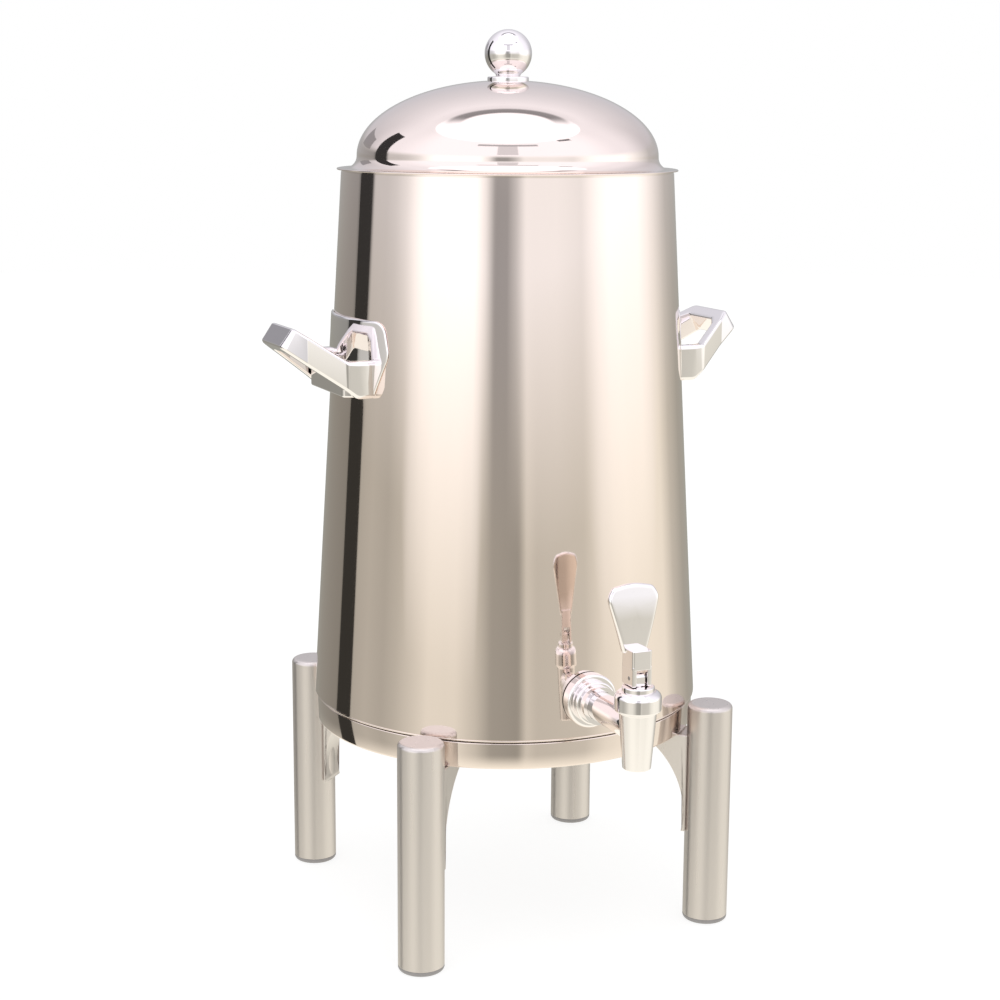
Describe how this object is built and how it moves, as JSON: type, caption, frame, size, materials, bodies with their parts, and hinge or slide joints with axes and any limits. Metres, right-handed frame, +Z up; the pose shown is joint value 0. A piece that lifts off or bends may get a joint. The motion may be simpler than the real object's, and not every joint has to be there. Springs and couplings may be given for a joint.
{
  "type": "coffee urn",
  "caption": "insulated stainless coffee urn: tapered round body on a four-leg stand, domed lift-off lid with ball knob, two loop handles and a lever tap",
  "frame": {"origin": "on the urn's upright axis, at table level under the legs", "axes": "+Z up; the tap faces -Y; the handles lie along X"},
  "size_m": [0.381, 0.392, 0.6807],
  "materials": {
    "polished_steel": "polished",
    "satin_steel": "satin",
    "chrome": "polished",
    "screw_steel": "satin",
    "silicone": "matte",
    "foam": "matte",
    "foot_plastic": "matte"
  },
  "bodies": {
    "urn": {"stand_ring": "polished_steel", "stand_shelf": "satin_steel", "leg_front_left": "polished_steel", "leg_front_right": "polished_steel", "leg_rear_left": "polished_steel", "leg_rear_right": "polished_steel", "leg_bracket_front_left": "polished_steel", "leg_bracket_front_right": "polished_steel", "leg_bracket_rear_left": "polished_steel", "leg_bracket_rear_right": "polished_steel", "leg_feet": "foot_plastic", "bracket_screws": "screw_steel", "base_bolts": "screw_steel", "base_nuts": "screw_steel", "handle_studs": "screw_steel", "handle_nuts": "screw_steel", "base_pan": "satin_steel", "outer_shell": "polished_steel", "inner_tank": "satin_steel", "insulation_jacket": "foam", "rim_ring": "polished_steel", "handle_left": "chrome", "handle_backing_left": "satin_steel", "handle_right": "chrome", "handle_backing_right": "satin_steel", "tank_outlet": "satin_steel", "tap_shank": "chrome", "tap_gasket": "silicone", "tap_flange": "chrome", "tap_coupling_nut": "chrome", "tap_body": "chrome", "tap_bonnet": "chrome", "valve_spring": "screw_steel"},
    "lid": {"lid_shell": "polished_steel", "lid_liner": "satin_steel", "knob_collar": "chrome", "knob_ball": "chrome", "knob_washer": "screw_steel", "knob_screw": "screw_steel"},
    "stem": {"valve_stem": "chrome", "seat_cup": "silicone"},
    "lever": {"tap_lever": "chrome", "lever_pin": "screw_steel"}
  },
  "joints": [
    {"name": "lid_lift", "type": "slide", "parent": "urn", "child": "lid", "axis": [0, 0, 1], "range_m": [0, 0.2]},
    {"name": "stem_lift", "type": "slide", "parent": "urn", "child": "stem", "axis": [0, 0, 1], "range_m": [0, 0.0042], "deforming": ["valve_spring"]},
    {"name": "lever_tilt", "type": "hinge", "parent": "stem", "child": "lever", "pos_m": [0, -0.225, 0.238], "axis": [1, 0, 0], "range_deg": [0, 40], "stiffness_Nm_per_rad": 0.05, "springref_deg": -17.19}
  ],
  "couplings": [
    {"joint": "stem_lift", "follows": "lever_tilt", "m_per_rad": 0.006}
  ]
}
